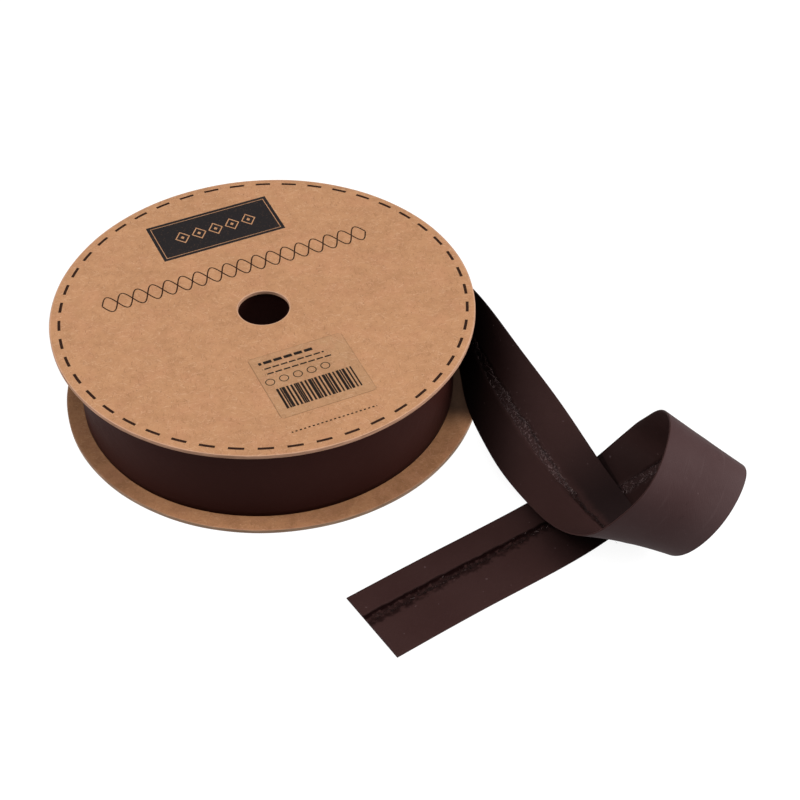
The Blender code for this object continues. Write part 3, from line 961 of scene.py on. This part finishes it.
def make_frays(cloth):
    """Loose threads on the two raw edges: thin three-sided tubes, each a short bent line.

    Each thread starts near a flap's raw edge, leaves it at about 45 degrees, as the cloth is cut on the bias,
    and curls up and down over the gap. All threads are worked out as one array."""
    rng = np.random.default_rng(FRAY_SEED)
    low_edge, across, normal, travel = tape_frame()
    first, second = gap_edges(travel)
    forward = np.gradient(low_edge + across / 2.0, axis=0)
    forward /= np.linalg.norm(forward, axis=1)[:, None]
    station = rng.integers(60, TAPE_STEPS - 6, FRAY_COUNT)
    flat_end = travel[station] > FLAT_END_STARTS
    choice = rng.random(FRAY_COUNT)
    from_second = choice < np.where(flat_end, 0.9, 0.62)
    between = choice > np.where(flat_end, 0.97, 0.85)
    root = np.where(from_second, second[station], first[station])
    root = np.where(between, first[station] + (second - first)[station] * rng.random(FRAY_COUNT), root)
    inward = np.where(from_second, -1.0, 1.0)
    length = rng.gamma(2.2, 0.36, FRAY_COUNT) * np.where(from_second, 1.0, 0.6) * MM
    length = np.minimum(length, LONGEST_FRAY)
    slant = rng.choice([-1.0, 1.0], FRAY_COUNT) * rng.normal(1.0, 0.4, FRAY_COUNT)
    curl = rng.normal(0.0, 0.6, FRAY_COUNT)
    rise = rng.normal(0.2, 0.3, FRAY_COUNT)
    where = travel[station]
    # Threads are pale mostly where the fluff is lit and duller at the flat end: painted light and shade with
    # the threads' own tone
    fluffy_and_lit = (where > LIT_FLUFF_STARTS[0]) & (where < LIT_FLUFF_FADES[1]) | (where > LIT_FLUFF_AGAIN[0]) & ~flat_end
    pale = rng.random(FRAY_COUNT) < np.where(fluffy_and_lit, 0.34, 0.03)
    dull = rng.uniform(0.0, 0.1, FRAY_COUNT) * np.where(flat_end, 0.3, 1.0) + 0.14 * fluffy_and_lit
    paleness = np.where(pale, rng.uniform(0.4, 0.9, FRAY_COUNT), dull)
    thickness = FRAY_RADIUS * np.where(pale, 1.25, 1.0)
    step = np.linspace(0.0, 1.0, FRAY_RINGS)[None, :]
    reach = length[:, None] * step
    side = (root[:, None] - inward[:, None] * 0.012) * TAPE_WIDTH + inward[:, None] * reach * 0.75
    run = slant[:, None] * reach * (0.75 + curl[:, None] * step)
    height = FOLDED - CLOTH * 0.4 + reach * rise[:, None] * (1.0 - 0.8 * step) - 0.12 * MM * step
    height = np.clip(height, CLOTH + FRAY_RADIUS, FOLDED + 0.35 * MM)
    across_unit = across[station] / TAPE_WIDTH
    line = low_edge[station][:, None, :] + across_unit[:, None, :] * side[:, :, None]
    line = line + forward[station][:, None, :] * run[:, :, None]
    line = line + normal[station][:, None, :] * height[:, :, None]
    heading = line[:, -1] - line[:, 0]
    heading /= np.linalg.norm(heading, axis=1)[:, None]
    beside = np.cross(heading, normal[station])
    beside /= np.linalg.norm(beside, axis=1)[:, None]
    above = np.cross(beside, heading)
    corner = np.arange(3) * math.tau / 3.0
    taper = thickness[:, None] * (1.0 - 0.55 * step)
    ring = above[:, None, :] * np.cos(corner)[None, :, None]
    ring = ring + beside[:, None, :] * np.sin(corner)[None, :, None]
    points = line[:, :, None, :] + ring[:, None, :, :] * taper[:, :, None, None]
    points[..., 2] = np.maximum(points[..., 2], OVER_THE_FLOOR)
    uv = np.zeros(points.shape[:3] + (2,))
    uv[..., 0] = paleness[:, None, None]
    first_point = np.arange(FRAY_COUNT) * FRAY_RINGS * 3
    faces = (grid_faces(FRAY_RINGS, 3)[None, :, :] + first_point[:, None, None]).reshape(-1, 4)
    roots = first_point[:, None] + np.array([2, 1, 0])
    tips = first_point[:, None] + (FRAY_RINGS - 1) * 3 + np.array([0, 1, 2])
    threads = make_piece("frayed_threads", points, faces, [cloth], uv=uv, ends=np.concatenate([roots, tips]))
    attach(threads, "root")
    return threads


def make_label(film):
    """The clear label: a rounded rectangle with a rim that slopes down to the board, turned as the print is.

    Outline = the rectangle shrunk by the corner radius plus a circle of that radius. Its first two levels
    are the rim, and the others shrink it to the middle of the flat top."""
    angle = np.linspace(0.0, math.tau, LABEL_STEPS, endpoint=False) + math.pi / LABEL_STEPS
    circle = np.stack([np.cos(angle), np.sin(angle)], axis=1)
    half = np.array(LABEL_SIZE) / 2.0 - LABEL_CORNER
    outline = np.sign(circle) * half + circle * LABEL_CORNER
    shares = np.array([1.0, 0.9985, 0.75, 0.5, 0.25, 0.001])
    points = np.zeros((len(shares), LABEL_STEPS, 3))
    points[:, :, :2] = outline[None, :, :] * shares[:, None, None]
    points[0, :, 2] = LABEL_RIM_HEIGHT
    points[1:, :, 2] = LABEL_THICKNESS
    points[:, :, :2] += LABEL_CENTRE
    turn = Matrix.Rotation(PRINT_TURN, 3, 'Z')
    points = points @ np.array(turn).T
    points += (*PRINT_CENTRE, UPPER_TOP)
    faces = grid_faces(len(shares), LABEL_STEPS)
    label = make_piece("clear_label", points, faces, [film], smooth=False)
    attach(label, "root")
    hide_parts("sticker")
    return label


# Stage

def make_camera():
    forward = Vector((0.0, math.cos(CAMERA_ELEVATION), -math.sin(CAMERA_ELEVATION)))
    level = Vector((1.0, 0.0, 0.0))
    upright = level.cross(forward)
    right = level * math.cos(CAMERA_ROLL) + upright * math.sin(CAMERA_ROLL)
    up = upright * math.cos(CAMERA_ROLL) - level * math.sin(CAMERA_ROLL)
    data = bpy.data.cameras.new("camera")
    data.sensor_width = SENSOR_WIDTH
    data.lens = FOCAL_PIXELS * SENSOR_WIDTH / PICTURE_SIDE
    data.shift_x = (PICTURE_SIDE / 2.0 - CENTRE_PIXEL[0]) / PICTURE_SIDE
    data.shift_y = (CENTRE_PIXEL[1] - PICTURE_SIDE / 2.0) / PICTURE_SIDE
    data.clip_start = 0.01
    camera = bpy.data.objects.new("camera", data)
    turn = Matrix((right, up, -forward)).transposed().to_4x4()
    aim = Vector((REEL_AXIS[0] + CAMERA_AIM_FROM_AXIS[0], REEL_AXIS[1] + CAMERA_AIM_FROM_AXIS[1], 0.0))
    camera.matrix_world = Matrix.Translation(aim - forward * CAMERA_DISTANCE) @ turn
    bpy.context.scene.collection.objects.link(camera)
    bpy.context.scene.camera = camera


def make_floor():
    """A plain pale floor, far larger than the view."""
    finish = Finish("pale_floor", 0.9, 0.0)
    finish.shader.inputs["Base Color"].default_value = FLOOR_TONE
    finish.shader.inputs["Emission Color"].default_value = WHITE
    finish.shader.inputs["Emission Strength"].default_value = FLOOR_GLOW
    side = 3.0
    points = np.array([[-side, -side, 0.0], [side, -side, 0.0], [side, side, 0.0], [-side, side, 0.0]])
    make_piece("floor", points, np.array([[0, 1, 2, 3]]), [finish])


def make_soft_light(name, place, size, watts):
    """A soft box that faces the origin."""
    data = bpy.data.lights.new(name, 'AREA')
    data.shape = 'RECTANGLE'
    data.size, data.size_y = size
    data.energy = watts
    light = bpy.data.objects.new(name, data)
    light.rotation_euler = (-Vector(place)).to_track_quat('-Z', 'Y').to_euler()
    light.location = place
    bpy.context.scene.collection.objects.link(light)


def make_lights():
    world = bpy.data.worlds.new("pale_room")
    world.use_nodes = True
    room = world.node_tree.nodes["Background"]
    room.inputs["Color"].default_value = WHITE
    room.inputs["Strength"].default_value = ROOM_GLOW
    bpy.context.scene.world = world
    bpy.context.scene.view_settings.view_transform = 'Standard'
    softboxes = (
        # name          place                  size           watts
        ("overhead",    (0.3, -0.3, 1.15),     (1.0, 1.0),    5.6),
        ("left_high",   (-0.77, 0.0, 0.92),    (0.6, 0.6),    7.2),
        ("left_low",    (-1.14, 0.0, 0.37),    (0.6, 0.35),   9.8),
        ("right_low",   (1.14, 0.0, 0.37),     (0.9, 0.5),    22.5),
        ("right_high",  (0.77, 0.0, 0.92),     (0.6, 0.6),    3.0),
        ("front_high",  (0.0, -0.77, 0.92),    (0.6, 0.6),    3.5),
    )
    for name, place, size, watts in softboxes:
        make_soft_light(name, place, size, watts)


def main():
    make_camera()
    make_lights()
    make_floor()
    # The lower board's cut edge has darker tones than the upper's: painted shade
    upper_edge = cut_edge_finish("upper_cut_edge", paint(140, 104, 82), paint(194, 150, 124))
    lower_edge = cut_edge_finish("lower_cut_edge", paint(128, 102, 82), paint(168, 136, 112))
    plain = board_finish("plain_kraft", LOWER_CENTRE, PLAIN_KRAFT, 1.7, 0.2, with_shade)
    printed = board_finish("printed_kraft", REEL_AXIS, PRINTED_KRAFT, 1.0, 0.5, with_print)
    make_board("lower_board", "disc_bottom", LOWER_CENTRE, 0.0, plain, lower_edge, 1.3)
    make_board("upper_board", "disc_top", REEL_AXIS, TOP_BOX[0].z, printed, upper_edge, 4.1)
    make_roll(wound_cloth_finish())
    tape = make_loose_end(loose_cloth_finish())
    threads = make_frays(fluff_finish())
    make_label(label_finish())


main()
